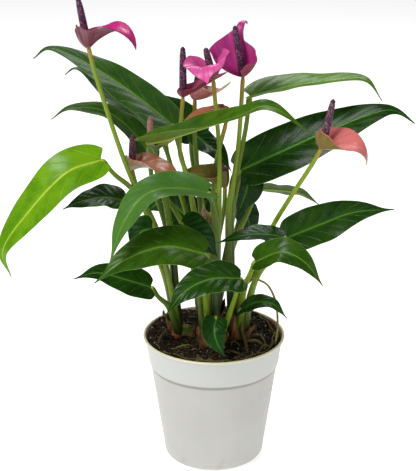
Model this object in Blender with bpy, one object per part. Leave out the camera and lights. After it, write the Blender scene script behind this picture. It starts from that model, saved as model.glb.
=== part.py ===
"""A potted anthurium: four small plants in one nursery pot, +Z up, in metres.

The pot stands on z = 0 and its axis is the z axis.  The plants' points are written in
millimetres from the middle of the soil's surface, so they move with the pot.
"""
import math

import bmesh
import bpy
from mathutils import Vector

MM = 0.001
GAP = 0.0003                    # left between pieces that touch

# Nursery pot, moulded plastic
POT_HEIGHT = 0.111
POT_RIM_RADIUS = 0.060
POT_BASE_RADIUS = 0.0425
POT_WALL = 0.0013
POT_LIP = 0.0020                # rolled edge round the mouth
RIM_BAND = 0.024                # height of the wider band under the lip
RIM_STEP = 0.0022               # how far the body lies inside the band
BASE_ROUND = 0.006              # rounded edge between body and base
DRAIN_HOLES = 8
DRAIN_RADIUS = 0.0030
POT_SIDES = 48

# Soil
SOIL_BELOW_LIP = 0.003
SOIL_DOME = 0.0012
SOIL_CLEARANCE = 0.0005         # between the soil and the pot's wall
CROWN_RADIUS = 0.0095
CROWN_DEPTH = 0.020             # how deep a crown sits in the soil
CROWN_RISE = 0.008

# Plant
BLADE_THICKNESS = 0.0008
SPATHE_THICKNESS = 0.0008
STEM_BASE_RADIUS = 0.0033
PETIOLE_RADIUS = 0.0018
STALK_RADIUS = 0.0018
SPADIX_RADIUS = 0.0029
ROOT_RADIUS = 0.0009
STEM_SIDES = 6

# Half width of a blade, as a share of its widest, at shares of the midrib's length
LEAF_OUTLINE = ((0, .55), (.03, .78), (.08, .93), (.18, 1), (.35, .97), (.50, .84),
                (.65, .62), (.78, .36), (.88, .14), (.94, .06), (1, .02))
LOBE_REACH = 0.40               # the basal lobes fade out at this share of the midrib
# Reach of a spathe from its stalk, as a share of its length, at degrees from its midrib
SPATHE_OUTLINE = ((0, 1), (10, .80), (28, .64), (58, .53), (92, .49), (126, .46), (158, .33))
SPATHE_NECK = 0.0013            # radius at which a spathe leaves the top of its stalk
SPATHE_RINGS = 4


def material(name, colour, roughness):
    made = bpy.data.materials.new(name)
    made.use_nodes = True
    shader = made.node_tree.nodes["Principled BSDF"]
    shader.inputs["Base Color"].default_value = (*colour, 1)
    shader.inputs["Roughness"].default_value = roughness
    made.diffuse_color = (*colour, 1)
    return made


def add_object(name, bm, finish, smooth=True):
    bmesh.ops.recalc_face_normals(bm, faces=bm.faces)
    mesh = bpy.data.meshes.new(name)
    bm.to_mesh(mesh)
    bm.free()
    if smooth:
        mesh.shade_smooth()
    mesh.materials.append(finish)
    made = bpy.data.objects.new(name, mesh)
    bpy.context.scene.collection.objects.link(made)
    return made


def plant_point(point):
    """A point given in millimetres from the middle of the soil's surface."""
    x, y, z = point
    return Vector((x * MM, y * MM, SOIL_TOP + z * MM))


def smooth_path(points, steps):
    """A Catmull-Rom curve through the points, with this many steps between each two."""
    ends = [2 * points[0] - points[1], *points, 2 * points[-1] - points[-2]]
    path = []
    for a, b, c, d in zip(ends, ends[1:], ends[2:], ends[3:]):
        for i in range(steps):
            t = i / steps
            path.append(0.5 * (2 * b + (c - a) * t + (2 * a - 5 * b + 4 * c - d) * t ** 2
                               + (3 * b - a - 3 * c + d) * t ** 3))
    path.append(points[-1])
    return path


def tube_mesh(path, radii, sides):
    """A closed tube along the path, with a radius for each of its points."""
    bm = bmesh.new()
    rings = []
    across = Vector((1, 0, 0))
    for i, (centre, radius) in enumerate(zip(path, radii)):
        along = (path[min(i + 1, len(path) - 1)] - path[max(i - 1, 0)]).normalized()
        across = (across - across.dot(along) * along).normalized()
        up = along.cross(across)
        turns = [2 * math.pi * k / sides for k in range(sides)]
        rings.append([bm.verts.new(centre + radius * (math.cos(a) * across + math.sin(a) * up))
                      for a in turns])
    for low, high in zip(rings, rings[1:]):
        for k in range(sides):
            bm.faces.new((low[k], low[(k + 1) % sides], high[(k + 1) % sides], high[k]))
    bm.faces.new(rings[0])
    bm.faces.new(rings[-1])
    return bm


def turned_mesh(profile, sides):
    """A solid turned about z from a closed profile of (radius, height) points."""
    bm = bmesh.new()
    verts = [bm.verts.new((radius, 0, height)) for radius, height in profile]
    edges = [bm.edges.new((a, b)) for a, b in zip(verts, verts[1:] + verts[:1])]
    bmesh.ops.spin(bm, geom=verts + edges, cent=(0, 0, 0), axis=(0, 0, 1),
                   angle=2 * math.pi, steps=sides, use_merge=True)
    bmesh.ops.remove_doubles(bm, verts=bm.verts, dist=1e-6)
    bmesh.ops.dissolve_degenerate(bm, edges=bm.edges, dist=1e-7)
    return bm


class Midrib:
    """A smooth curve from a blade's junction to its tip, measured along its length."""

    def __init__(self, points, face, tip_face):
        self.path = smooth_path(points, 8)
        self.marks = [0.0]
        for a, b in zip(self.path, self.path[1:]):
            self.marks.append(self.marks[-1] + (b - a).length)
        self.length = self.marks[-1]
        self.face = Vector(face).normalized()
        self.tip_face = Vector(tip_face).normalized()

    def at(self, distance):
        """Place, direction across and direction of the upper face, so far from the junction."""
        last = len(self.path) - 2
        i = 0
        while i < last and self.marks[i + 1] < distance:
            i += 1
        share = (distance - self.marks[i]) / (self.marks[i + 1] - self.marks[i])
        place = self.path[i].lerp(self.path[i + 1], share)
        before = self.path[max(i - 1, 0)]
        after = self.path[min(i + 2, last + 1)]
        along = (after - before).normalized()
        face = self.face.lerp(self.tip_face, min(max(distance / self.length, 0), 1))
        face = (face - face.dot(along) * along).normalized()
        return place, along.cross(face), face


def blade_mesh(midrib, outline, half_width, thickness, lobe, fold, tip_fold, cup, columns=4):
    """A thin closed blade: heart-shaped at the junction, drawn out to a tip.

    fold is the angle that each half rises at the midrib, and cup the angle that the whole
    width bends through, both in degrees; a negative cup lets the edges droop.
    """
    sheet = []
    for share, width in outline:
        rise = math.radians(fold + (tip_fold - fold) * share)
        bend = math.radians(cup) * (1 - 0.6 * share)
        reach = lobe * max(1 - share / LOBE_REACH, 0) ** 2
        row = []
        for k in range(columns + 1):
            v = 2 * k / columns - 1
            back = reach * (1 - 0.45 * abs(v) ** 6) * abs(v) ** 1.6
            v = math.copysign(abs(v) ** 0.75, v)
            place, across, face = midrib.at((share - back) * midrib.length)
            radius = half_width * width / (bend / 2)
            out = radius * math.sin(abs(v) * bend / 2)
            lift = radius * (1 - math.cos(v * bend / 2))
            side = math.copysign(out * math.cos(rise) - lift * math.sin(rise), v)
            height = out * math.sin(rise) + lift * math.cos(rise)
            row.append(place + across * side + face * height)
        sheet.append(row)
    return sheet_mesh(sheet, thickness)


def reading(stops, at):
    """A value read from (place, value) stops, by straight lines between them."""
    for (a, low), (b, high) in zip(stops, stops[1:]):
        if at <= b:
            return low + (high - low) * (at - a) / (b - a)
    return stops[-1][1]


def spathe_mesh(base, axis, heading, length, front, back, heel, sides, roll):
    """A thin closed spathe that rises round the foot of its spadix and opens to one side.

    Rays leave the top of the stalk all round the axis.  front and back are the angles in
    degrees at which the rays along the midrib and behind the spadix climb, from the stalk
    outwards.  sides scales the reach to the left and to the right of the midrib, heel scales
    it behind the spadix, and roll tilts the whole limb to its right, in degrees.
    """
    axis = Vector(axis).normalized()
    turn = math.radians(heading)
    ahead = Vector((math.cos(turn), math.sin(turn), 0))
    ahead = (ahead - ahead.dot(axis) * axis).normalized()
    left = axis.cross(ahead)
    front = [(i / (len(front) - 1), angle) for i, angle in enumerate(front)]
    back = [(0.5 * i / (len(back) - 1), angle) for i, angle in enumerate(back)]
    sheet = []
    angles = [sign * angle for sign in (-1, 1) for angle, _ in SPATHE_OUTLINE if angle or sign > 0]
    for angle in sorted(angles):
        share = reading(SPATHE_OUTLINE, abs(angle))
        lean = math.sin(math.radians(angle))
        reach = length * share * (1 + (sides[0 if angle > 0 else 1] - 1) * abs(lean))
        reach *= 1 + (heel - 1) * (1 - math.cos(math.radians(angle))) / 2
        behind = (1 - math.cos(math.radians(min(1.4 * abs(angle), 180)))) / 2
        around = math.radians(angle)
        radial = math.cos(around) * ahead + math.sin(around) * left
        place = base + SPATHE_NECK * radial
        ray = [place]
        steps = 4 * SPATHE_RINGS
        for step in range(steps):
            out = reach * (step + 0.5) / steps / length
            climb = (1 - behind) * reading(front, out) + behind * reading(back, out)
            climb = math.radians(climb + roll * lean * (1 - behind))
            place = place + reach / steps * (math.cos(climb) * radial + math.sin(climb) * axis)
            if (step + 1) % 4 == 0:
                ray.append(place)
        sheet.append(ray)
    return sheet_mesh(sheet, SPATHE_THICKNESS)


def sheet_mesh(sheet, thickness):
    """A closed solid of even thickness from a grid of points, a list of rows."""
    bm = bmesh.new()
    rows, columns = len(sheet), len(sheet[0])
    upper, lower = [], []
    for i in range(rows):
        row_up, row_down = [], []
        for k in range(columns):
            along = sheet[min(i + 1, rows - 1)][k] - sheet[max(i - 1, 0)][k]
            across = sheet[i][min(k + 1, columns - 1)] - sheet[i][max(k - 1, 0)]
            normal = along.cross(across).normalized()
            row_up.append(bm.verts.new(sheet[i][k] + normal * thickness / 2))
            row_down.append(bm.verts.new(sheet[i][k] - normal * thickness / 2))
        upper.append(row_up)
        lower.append(row_down)
    for side in (upper, lower):
        for a, b in zip(side, side[1:]):
            for k in range(columns - 1):
                bm.faces.new((a[k], a[k + 1], b[k + 1], b[k]))
    for k in (0, columns - 1):
        for i in range(rows - 1):
            bm.faces.new((upper[i][k], upper[i + 1][k], lower[i + 1][k], lower[i][k]))
    for i in (0, rows - 1):
        for k in range(columns - 1):
            bm.faces.new((upper[i][k], upper[i][k + 1], lower[i][k + 1], lower[i][k]))
    return bm


for old in list(bpy.data.objects):
    bpy.data.objects.remove(old, do_unlink=True)

POT_PLASTIC = material("pot_plastic", (0.78, 0.77, 0.73), 0.35)
SOIL = material("soil", (0.03, 0.02, 0.015), 0.95)
LEAF = material("leaf", (0.03, 0.12, 0.015), 0.35)
STEM = material("stem", (0.25, 0.36, 0.05), 0.45)
SPATHE = material("spathe", (0.50, 0.10, 0.25), 0.35)
SPADIX = material("spadix", (0.05, 0.01, 0.03), 0.60)
ROOT = material("root", (0.45, 0.35, 0.12), 0.70)

# ---- Pot: one moulding, with a lip, a band, a tapering body and a floor with drain holes
SOIL_TOP = POT_HEIGHT - SOIL_BELOW_LIP
band_foot = POT_HEIGHT - RIM_BAND
taper = (POT_RIM_RADIUS - POT_BASE_RADIUS) / POT_HEIGHT
step_drop = 0.003               # height of the sloping step under the band


def outer_radius(height):
    return POT_RIM_RADIUS - taper * (POT_HEIGHT - height)


def body_radius(height):
    return outer_radius(height) - RIM_STEP * (height / band_foot)


outside = [(POT_BASE_RADIUS - BASE_ROUND, 0)]
for step in range(1, 5):
    turn = math.radians(90 * step / 4)
    outside.append((POT_BASE_RADIUS - BASE_ROUND * (1 - math.sin(turn)),
                    BASE_ROUND * (1 - math.cos(turn))))
outside += [(body_radius(band_foot - step_drop), band_foot - step_drop),
            (outer_radius(band_foot) - POT_LIP / 2, band_foot),
            (POT_RIM_RADIUS - POT_LIP / 2, POT_HEIGHT - 1.5 * POT_LIP),
            (POT_RIM_RADIUS, POT_HEIGHT - POT_LIP),
            (POT_RIM_RADIUS - POT_LIP / 4, POT_HEIGHT - POT_LIP / 4),
            (POT_RIM_RADIUS - POT_LIP, POT_HEIGHT)]
shelf = band_foot + step_drop    # the inside steps in here, above the step outside
lip_inner = POT_RIM_RADIUS - POT_LIP / 2 - POT_WALL
shelf_inner = outer_radius(band_foot) - POT_LIP / 2 - POT_WALL


def band_inner(height):
    """Inside radius of the band between the shelf and the lip."""
    share = (height - shelf) / (POT_HEIGHT - POT_LIP - shelf)
    return shelf_inner + (lip_inner - shelf_inner) * share


inside = [(lip_inner, POT_HEIGHT - POT_LIP),
          (shelf_inner, shelf),
          (body_radius(band_foot - step_drop) - POT_WALL, band_foot),
          (POT_BASE_RADIUS - POT_WALL, BASE_ROUND),
          (POT_BASE_RADIUS - BASE_ROUND, POT_WALL)]
centre_top = (0, POT_WALL)
centre_bottom = (0, 0)
pot = add_object("pot", turned_mesh([centre_bottom, *outside, *inside, centre_top], POT_SIDES),
                 POT_PLASTIC)
pot.data.set_sharp_from_angle(angle=math.radians(35))

# Drain holes through the floor, one cutter for all of them
drain_circle = (POT_BASE_RADIUS - BASE_ROUND) - 2 * DRAIN_RADIUS
drains = bmesh.new()
for hole in range(DRAIN_HOLES):
    turn = 2 * math.pi * (hole + 0.5) / DRAIN_HOLES
    place = bmesh.ops.create_cone(drains, cap_ends=True, segments=12, radius1=DRAIN_RADIUS,
                                  radius2=DRAIN_RADIUS, depth=4 * POT_WALL)["verts"]
    bmesh.ops.translate(drains, verts=place, vec=(drain_circle * math.cos(turn),
                                                  drain_circle * math.sin(turn), 0))
drain_cutter = add_object("drain_cutter", drains, POT_PLASTIC)
drain_cutter.hide_render = True
drain_cutter.display_type = "WIRE"
cut = pot.modifiers.new("drains", "BOOLEAN")
cut.object = drain_cutter
cut.operation = "DIFFERENCE"

# ---- Soil: one plug that fills the pot, domed, with a socket for each crown
floor_top = POT_WALL + SOIL_CLEARANCE
plug = [(0, floor_top), (POT_BASE_RADIUS - BASE_ROUND - SOIL_CLEARANCE, floor_top),
        (POT_BASE_RADIUS - POT_WALL - SOIL_CLEARANCE, BASE_ROUND + SOIL_CLEARANCE),
        (body_radius(band_foot - step_drop) - POT_WALL - SOIL_CLEARANCE, band_foot),
        (shelf_inner - SOIL_CLEARANCE, shelf),
        (band_inner(SOIL_TOP - SOIL_DOME) - SOIL_CLEARANCE, SOIL_TOP - SOIL_DOME)]
for share in (0.85, 0.6, 0.3, 0):
    plug.append((share * plug[5][0], SOIL_TOP - SOIL_DOME * share ** 2))
soil = add_object("soil", turned_mesh(plug, 32), SOIL)

# ---- Crowns: where each small plant stands in the soil, (x, y) in millimetres
CROWNS = {"left": (-25, 4), "front": (-3, -15), "right": (20, 0), "back": (-5, 24)}
stems_of = {name: [] for name in CROWNS}


def add_stem(crown, points, end, top_radius, sides=STEM_SIDES):
    """A petiole or flower stalk: from its crown through the points to just short of end."""
    x, y = CROWNS[crown]
    goal = Vector(points[0] if points else end)
    lean = Vector((goal.x - x, goal.y - y, 0))
    lean = lean.normalized() * 0.5 * CROWN_RADIUS / MM if lean.length > 1 else lean
    root = plant_point((x + lean.x, y + lean.y, -5))
    through = [root, *[plant_point(point) for point in points]]
    tip = plant_point(end)
    tip += (through[-1] - tip).normalized() * (top_radius + 2 * GAP)
    path = smooth_path([*through, tip], 3)
    last = len(path) - 1
    radii = [top_radius + (STEM_BASE_RADIUS - top_radius) * (1 - i / last) ** 2
             for i in range(last + 1)]
    radii[-1] *= 0.7
    number = len(stems_of[crown]) + 1
    stem = add_object(f"{crown}_stem_{number}", tube_mesh(path, radii, sides), STEM)
    stem.hide_render = True
    stem.display_type = "WIRE"
    stems_of[crown].append(stem)


def add_leaf(name, crown, petiole, midrib, width, face, fold=15, tip_fold=5, cup=-30, lobe=0.13,
             tip_face=None):
    curve = Midrib([plant_point(point) for point in midrib], face, tip_face or face)
    add_object(name, blade_mesh(curve, LEAF_OUTLINE, width / 2 * MM, BLADE_THICKNESS, lobe,
                                fold, tip_fold, cup), LEAF)
    add_stem(crown, petiole, midrib[0], PETIOLE_RADIUS)


def add_flower(name, crown, stalk, base, spadix_tip, heading, length, front, back=(35, 85, 95),
               heel=1, sides=(1, 1), roll=0, girth=1):
    """A spathe, the spadix that stands in it and their stalk."""
    foot, tip = plant_point(base), plant_point(spadix_tip)
    axis = (tip - foot).normalized()
    add_object(f"spathe_{name}", spathe_mesh(foot, axis, heading, length * MM, front, back,
                                             heel, sides, roll), SPATHE)
    add_stem(crown, stalk, base, STALK_RADIUS)
    path = [foot + axis * SPATHE_THICKNESS * 1.5]
    path += [foot.lerp(tip, share) for share in (0.10, 0.22, 0.45, 0.70, 0.90, 0.97, 1)]
    radii = [SPADIX_RADIUS * girth * share for share in (0.3, 0.6, 0.95, 1, 0.9, 0.72, 0.5, 0.15)]
    add_object(f"spadix_{name}", tube_mesh(path, radii, 8), SPADIX)


# ---- Leaves: name, crown, points of the petiole, points of the midrib from junction to tip,
# width, and the way that the upper face looks
add_leaf("leaf_top_left", "back", [(-14, 42, 80), (-27, 54, 140)],          [(-35, 48, 173), (-72,
         62, 199), (-109, 68, 222), (-137, 66, 234), (-151, 62, 226)],          39, (.15, -.45,
         1), lobe=.05)
add_leaf("leaf_top_left_rear", "back", [(-20, 44, 80), (-36, 60, 130)],          [(-43, 70, 152),
         (-71, 86, 175), (-101, 94, 198), (-118, 92, 210), (-128, 90, 205)],          38, (0,
         -.25, 1), lobe=.05)
add_leaf("leaf_left_upper", "left", [(-38, 18, 80), (-52, 38, 125)],          [(-53, 46, 143),
         (-65, 47, 163), (-89, 44, 185), (-119, 38, 190), (-135, 32, 182)],          30, (0, -.3,
         1), lobe=.05)
add_leaf("leaf_back_upper", "back", [(-8, 50, 80), (-14, 72, 122)],          [(-15, 90, 148),
         (-26, 97, 163), (-38, 104, 175), (-52, 108, 185)],          34, (-.1, -.4, 1), lobe=.05)
add_leaf("leaf_back_hanging", "back", [(-9, 50, 80), (-19, 74, 138)],          [(-18, 64, 161),
         (-7, 60, 153), (4, 54, 146), (15, 46, 132)],          24, (.5, -.7, .7), lobe=.04)
add_leaf("leaf_top_right", "right", [(14, 4, 119), (20, 7, 151), (26, 15, 180)],          [(29,
         24, 204), (59, 24, 212), (98, 18, 219), (122, 12, 221), (136, 8, 204)],          38, (.1,
         -.09, 1), fold=25, lobe=.05)
add_leaf("leaf_right_large", "right", [(12, 10, 81), (16, 19, 107)],          [(22, 24, 140), (59,
         30, 156), (96, 28, 174), (134, 22, 191), (150, 20, 192), (164, 16, 183)],          44,
         (-.2, -.9, .8), lobe=.04)
add_leaf("leaf_arching_front", "left", [(-36, 8, 90), (-45, 18, 138), (-49, 16, 161)],
         [(-54, -4, 173), (-39, -12, 178), (-19, -27, 189), (17, -45, 206), (42, -54, 217),
         (74, -58, 197)],          34, (-.2, .1, 1), fold=42, tip_fold=5, lobe=.07, tip_face=(0,
         -.5, 1))
add_leaf("leaf_left_drooping", "left", [(-46, -2, 91), (-64, -6, 130), (-80, -17, 150)],
         [(-90, -22, 164), (-118, -32, 156), (-149, -36, 124), (-170, -38, 93), (-165, -34, 68)],
         37, (-.35, -.75, .6), lobe=.05)
add_leaf("leaf_left_lower", "left", [(-42, -5, 60), (-60, -14, 104)],          [(-73, -17, 128),
         (-89, -20, 132), (-106, -24, 130), (-122, -27, 124)],          30, (0, -.35, 1),
         lobe=.06)
add_leaf("leaf_front_pale", "front", [(2, -19, 92), (0, -25, 122)],          [(-5, -44, 144),
         (-27, -54, 151), (-52, -64, 150), (-71, -74, 128), (-82, -80, 96)],          36, (-.3,
         -.4, 1), fold=25, lobe=.08)
add_leaf("leaf_front_left", "front", [(-6, -24, 30), (-8, -38, 60)],          [(-7, -54, 96),
         (-39, -64, 106), (-70, -70, 97), (-94, -76, 80)],          42, (-.1, -.6, 1), lobe=.06)
add_leaf("leaf_low_left", "left", [(-37, -11, 30), (-46, -17, 43)],          [(-52, -22, 54),
         (-73, -34, 66), (-94, -42, 75), (-113, -48, 72)],          30, (-.1, -.7, .9), lobe=.05)
add_leaf("leaf_front_dark", "front", [(-14, -22, 60), (-21, -27, 90)],          [(-27, -30, 114),
         (-10, -36, 103), (3, -38, 87)],          29, (.3, -.9, .7), lobe=.04)
add_leaf("leaf_front_crinkled", "front", [(10, -26, 24), (16, -42, 50)],          [(21, -71, 82),
         (-3, -87, 88), (-23, -96, 81), (-38, -100, 63)],          31, (-.1, -.7, .9), lobe=.05)
add_leaf("leaf_right_broad", "right", [(34, -2, 50), (52, -4, 78)],          [(60, -5, 91), (88,
         0, 101), (116, 2, 111), (148, -2, 115)],          36, (0, -.75, .85), lobe=.05)
add_leaf("leaf_right_inner", "right", [(32, -12, 50), (48, -22, 84)],          [(58, -29, 101),
         (39, -33, 105), (21, -37, 105), (1, -39, 99)],          25, (0, -.2, 1), lobe=.05)
add_leaf("leaf_right_lower", "right", [(24, -22, 48), (29, -37, 72)],          [(33, -48, 87),
         (53, -58, 99), (71, -64, 93), (86, -68, 74)],          26, (.1, -.6, .8), fold=25,
         lobe=.05)
add_leaf("leaf_low_right", "right", [(21, -14, 20)],          [(22, -33, 39), (34, -42, 49), (47,
         -49, 51), (59, -54, 40)],          18, (.1, -.5, .9), lobe=.05)
add_leaf("leaf_low_front", "front", [(-3, -27, 24)],          [(2, -34, 32), (0, -42, 24), (3,
         -48, 14), (9, -54, 6)],          21, (0, -.9, .4), lobe=.05)
add_leaf("leaf_back_right_narrow", "back", [(14, 36, 60), (30, 40, 100)],          [(37, 42, 118),
         (56, 48, 115), (76, 52, 110), (92, 52, 99)],          22, (.1, .7, .8), lobe=.05)
add_leaf("leaf_back_right_dark", "back", [(12, 36, 70), (20, 42, 112)],          [(27, 36, 135),
         (28, 30, 123), (24, 26, 111), (19, 22, 100)],          28, (.3, -1, .3), lobe=.05)
add_leaf("leaf_back_right_low", "back", [(12, 46, 44), (22, 66, 80), (26, 67, 98)],          [(26,
         60, 96), (29, 59, 87), (31, 58, 78), (30, 57, 67)],          22, (.3, -1, .3), lobe=.05)
add_leaf("leaf_left_small", "left", [(-38, -12, 60)],          [(-50, -24, 106), (-58, -26, 105),
         (-62, -28, 99), (-63, -30, 88)],          24, (-.3, -.8, .4), lobe=.05)
add_leaf("leaf_inner_left", "back", [(-14, 42, 40), (-19, 60, 70)],          [(-23, 66, 83), (-35,
         67, 94), (-47, 67, 97), (-59, 66, 88)],          38, (-.2, -1, .3), lobe=.05)
add_leaf("leaf_inner_centre", "back", [(-4, 46, 40), (0, 78, 84), (1, 80, 106)],          [(0, 72,
         105), (-6, 71, 97), (-9, 70, 87), (-10, 69, 76)],          20, (.2, -1, .3), lobe=.05)

# ---- Flowers: name, crown, points of the stalk, its top, tip of the spadix, the way that the
# spathe opens in degrees from +x towards +y, its length, and its angles of climb
add_flower("tall_left", "left", [(-45, 2, 78), (-62, -4, 129), (-75, -12, 168), (-92, -17, 228)],
           (-98, -20, 255), (-105, -20, 294), -20, 54, (40, 26, 14, -50, -95), back=(45, 88, 97),
           sides=(.55, .8))
add_flower("tall_centre_left", "back", [(-12, 14, 70), (-21, 6, 136), (-28, 3, 165)],
           (-25, 2, 210), (-25, 2, 250), 5, 39, (26, 32, 36, 30), heel=.45, sides=(.6, .6))
add_flower("tall_front", "front", [(3, -15, 90), (4, -12, 125), (4, -9, 168)],            (-1,
           -14, 229), (-7, -14, 253), -100, 36, (66, 50, -40, -85), back=(32, 58, 66),
           sides=(1.45, 1.45))
add_flower("centre_rear", "back", [(-11, 36, 100), (-16, 44, 160)],            (-16, 44, 196),
           (-12, 44, 224), -10, 34, (16, 30, 45, 50), sides=(.8, 1))
add_flower("tall_centre", "right", [(12, 2, 104), (16, 2, 139), (20, 3, 173)],            (23, 4,
           226), (16, 2, 267), 62, 54, (50, 78, 94, 50, -70), back=(25, 45, 60),
           sides=(1.3, .8), roll=-10)
add_flower("right", "right", [(20, -4, 40), (38, -8, 66), (46, -10, 98), (59, -28, 131),
           (75, -47, 166)],            (83, -52, 183), (91, -52, 222), -8, 46, (36, 22, 10, -40,
           -90), heel=.8, sides=(.8, .9),            roll=30)
add_flower("salmon_centre", "back", [(-1, 27, 90), (1, 29, 140)],            (10, 26, 181), (6,
           28, 196), 182, 58, (38, 16, -4, -30, -55), heel=.5,            sides=(.8, .8))
add_flower("salmon_left", "left", [(-46, 4, 80), (-62, 8, 125)],            (-67, 0, 149), (-66,
           0, 178), -25, 52, (30, 14, -8, -45, -70), heel=.5,            sides=(.7, .9))
add_flower("left_old", "back", [(-22, 24, 80), (-42, 26, 120)],            (-52, 28, 152), (-53,
           28, 185), 0, 23, (52, 46, 30, 10), heel=.8)
add_flower("olive_centre", "back", [(2, 14, 70), (8, 8, 110)],            (9, 6, 132), (6, 4,
           153), 172, 36, (45, 45, 20, -15), back=(50, 85, 90),            roll=-25)
add_flower("bud", "front", [(-3, -9, 50)],            (-4, -6, 93), (-9, -6, 117), 90, 30, (45,
           75, 92, 95), back=(45, 75, 92),            girth=.65)

# ---- Each crown joins its stems into one grown body, and the soil has a socket for it
sockets = bmesh.new()
for name, (x, y) in CROWNS.items():
    middle = plant_point((x, y, 0))
    foot = middle - Vector((0, 0, CROWN_DEPTH))
    head = middle + Vector((0, 0, CROWN_RISE))
    path = [foot, foot.lerp(head, 0.15), foot.lerp(head, 0.7), foot.lerp(head, 0.92), head]
    radii = [CROWN_RADIUS * share for share in (0.6, 1, 1, 0.85, 0.5)]
    crown = add_object(f"crown_{name}", tube_mesh(path, radii, 12), STEM)
    grown = bpy.data.collections.new(f"stems_{name}")
    bpy.context.scene.collection.children.link(grown)
    for stem in stems_of[name]:
        grown.objects.link(stem)
    join = crown.modifiers.new("stems", "BOOLEAN")
    join.operation = "UNION"
    join.operand_type = "COLLECTION"
    join.collection = grown
    socket = bmesh.ops.create_cone(sockets, cap_ends=True, segments=16,
                                   radius1=CROWN_RADIUS + 4 * GAP, radius2=CROWN_RADIUS + 4 * GAP,
                                   depth=2 * (CROWN_DEPTH + GAP))["verts"]
    bmesh.ops.translate(sockets, verts=socket, vec=middle)
socket_cutter = add_object("socket_cutter", sockets, SOIL)
socket_cutter.hide_render = True
socket_cutter.display_type = "WIRE"
sink = soil.modifiers.new("sockets", "BOOLEAN")
sink.object = socket_cutter
sink.operation = "DIFFERENCE"

# ---- Aerial root: arches out from the right crown and comes down at the pot's edge
root_points = [(30, -20, 62), (37, -21, 60), (45, -20, 54), (51, -20, 40), (53, -20, 20),
               (51, -21, 2)]
root_path = smooth_path([plant_point(point) for point in root_points], 3)
add_object("aerial_root", tube_mesh(root_path, [ROOT_RADIUS] * len(root_path), 6), ROOT)
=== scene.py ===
"""The looks of a potted anthurium: plastic pot, soil, stems, leaves and flowers."""
import random
from math import copysign, cos, exp, hypot, pi, radians, sin

import bmesh
import bpy
from mathutils import Matrix, Vector, noise


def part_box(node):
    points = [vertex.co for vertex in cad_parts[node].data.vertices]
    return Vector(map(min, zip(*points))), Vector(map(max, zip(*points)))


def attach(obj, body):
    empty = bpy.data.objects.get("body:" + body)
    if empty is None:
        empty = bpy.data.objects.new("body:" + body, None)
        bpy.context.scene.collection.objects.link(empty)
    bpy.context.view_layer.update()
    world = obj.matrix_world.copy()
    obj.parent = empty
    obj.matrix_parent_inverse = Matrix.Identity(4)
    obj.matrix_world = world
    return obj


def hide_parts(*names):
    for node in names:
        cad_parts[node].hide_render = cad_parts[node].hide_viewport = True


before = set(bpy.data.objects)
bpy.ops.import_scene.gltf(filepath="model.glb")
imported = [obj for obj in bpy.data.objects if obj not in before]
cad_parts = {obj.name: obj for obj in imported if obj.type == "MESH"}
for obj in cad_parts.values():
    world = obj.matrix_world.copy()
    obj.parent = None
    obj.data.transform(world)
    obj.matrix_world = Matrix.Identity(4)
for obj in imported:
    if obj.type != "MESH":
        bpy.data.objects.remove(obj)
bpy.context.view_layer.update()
scene = bpy.context.scene
MM = 0.001
WHOLE_TURN = 2 * pi


# ---- Nodes and finishes ----
class Wire:
    """The outlet of a node; what is written with it adds nodes to its tree."""

    def __init__(self, owner, socket):
        self.owner, self.socket = owner, socket

    def maths(self, operation):
        return self.owner.maths(operation, self)

    def __abs__(self):
        return self.maths("ABSOLUTE")

    def from_whole(self):
        """How far this is from the nearest whole number, 0 to 0.5."""
        return abs((self + 0.5).maths("FRACT") - 0.5)

    def fade(self, start, end):
        """0 up to start, 1 past end and a smooth step between them."""
        return self.owner.add("ShaderNodeMapRange", {"interpolation_type": "SMOOTHSTEP"},
                              [self, start, end])

    def mix(self, first, second):
        """The first colour where this is 0 and the second where it is 1."""
        return self.owner.mix(self, first, second)

    def cloud(self, scale, detail=3, roughness=0.5):
        """Soft noise from 0 to 1 at this place, its grain about 1/scale metres."""
        return self.owner.add("ShaderNodeTexNoise", {}, {"Vector": self, "Scale": scale,
                                                         "Detail": detail,
                                                         "Roughness": roughness})

    def drawn_out(self, share):
        """This place with its height scaled, so that noise on it runs up and down."""
        return self.owner.add("ShaderNodeMapping", {}, {"Vector": self,
                                                        "Scale": (1, 1, share)})


for sign, deed in (("add", "ADD"), ("sub", "SUBTRACT"), ("mul", "MULTIPLY"),
                   ("truediv", "DIVIDE"), ("pow", "POWER")):
    setattr(Wire, f"__{sign}__",
            lambda self, other, deed=deed: self.owner.maths(deed, self, other))
    setattr(Wire, f"__r{sign}__",
            lambda self, other, deed=deed: self.owner.maths(deed, other, self))


def hue(code):
    """A colour from its six-digit sRGB code."""
    parts = [(code >> shift & 255) / 255 for shift in (16, 8, 0)]
    return (*[c / 12.92 if c < 0.04045 else ((c + 0.055) / 1.055) ** 2.4 for c in parts], 1)


class Nodes:
    """A node tree that is filled one node at a time; a colour may be given by its code."""

    def __init__(self, tree):
        self.tree = tree

    def add(self, kind, settings=(), values=(), outlet=0):
        node = self.tree.nodes.new(kind if "Node" in kind else self.FAMILY + kind)
        for name, value in dict(settings).items():
            setattr(node, name, value)
        for key, value in (values.items() if isinstance(values, dict) else enumerate(values)):
            self.feed(node.inputs[key], value)
        return Wire(self, node.outputs[outlet])

    def feed(self, socket, value):
        if isinstance(value, Wire):
            self.tree.links.new(value.socket, socket)
        elif isinstance(value, int) and socket.type == "RGBA":
            socket.default_value = hue(value)
        else:
            socket.default_value = value

    def maths(self, operation, *values):
        return self.add("ShaderNodeMath", {"operation": operation}, values)

    def mix(self, share, first, second):
        return self.add("ShaderNodeMix", {"data_type": "RGBA"},
                        {0: share, 6: first, 7: second}, outlet=2)

    def vector(self, *parts):
        return self.add("ShaderNodeCombineXYZ", {}, parts)


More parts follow.
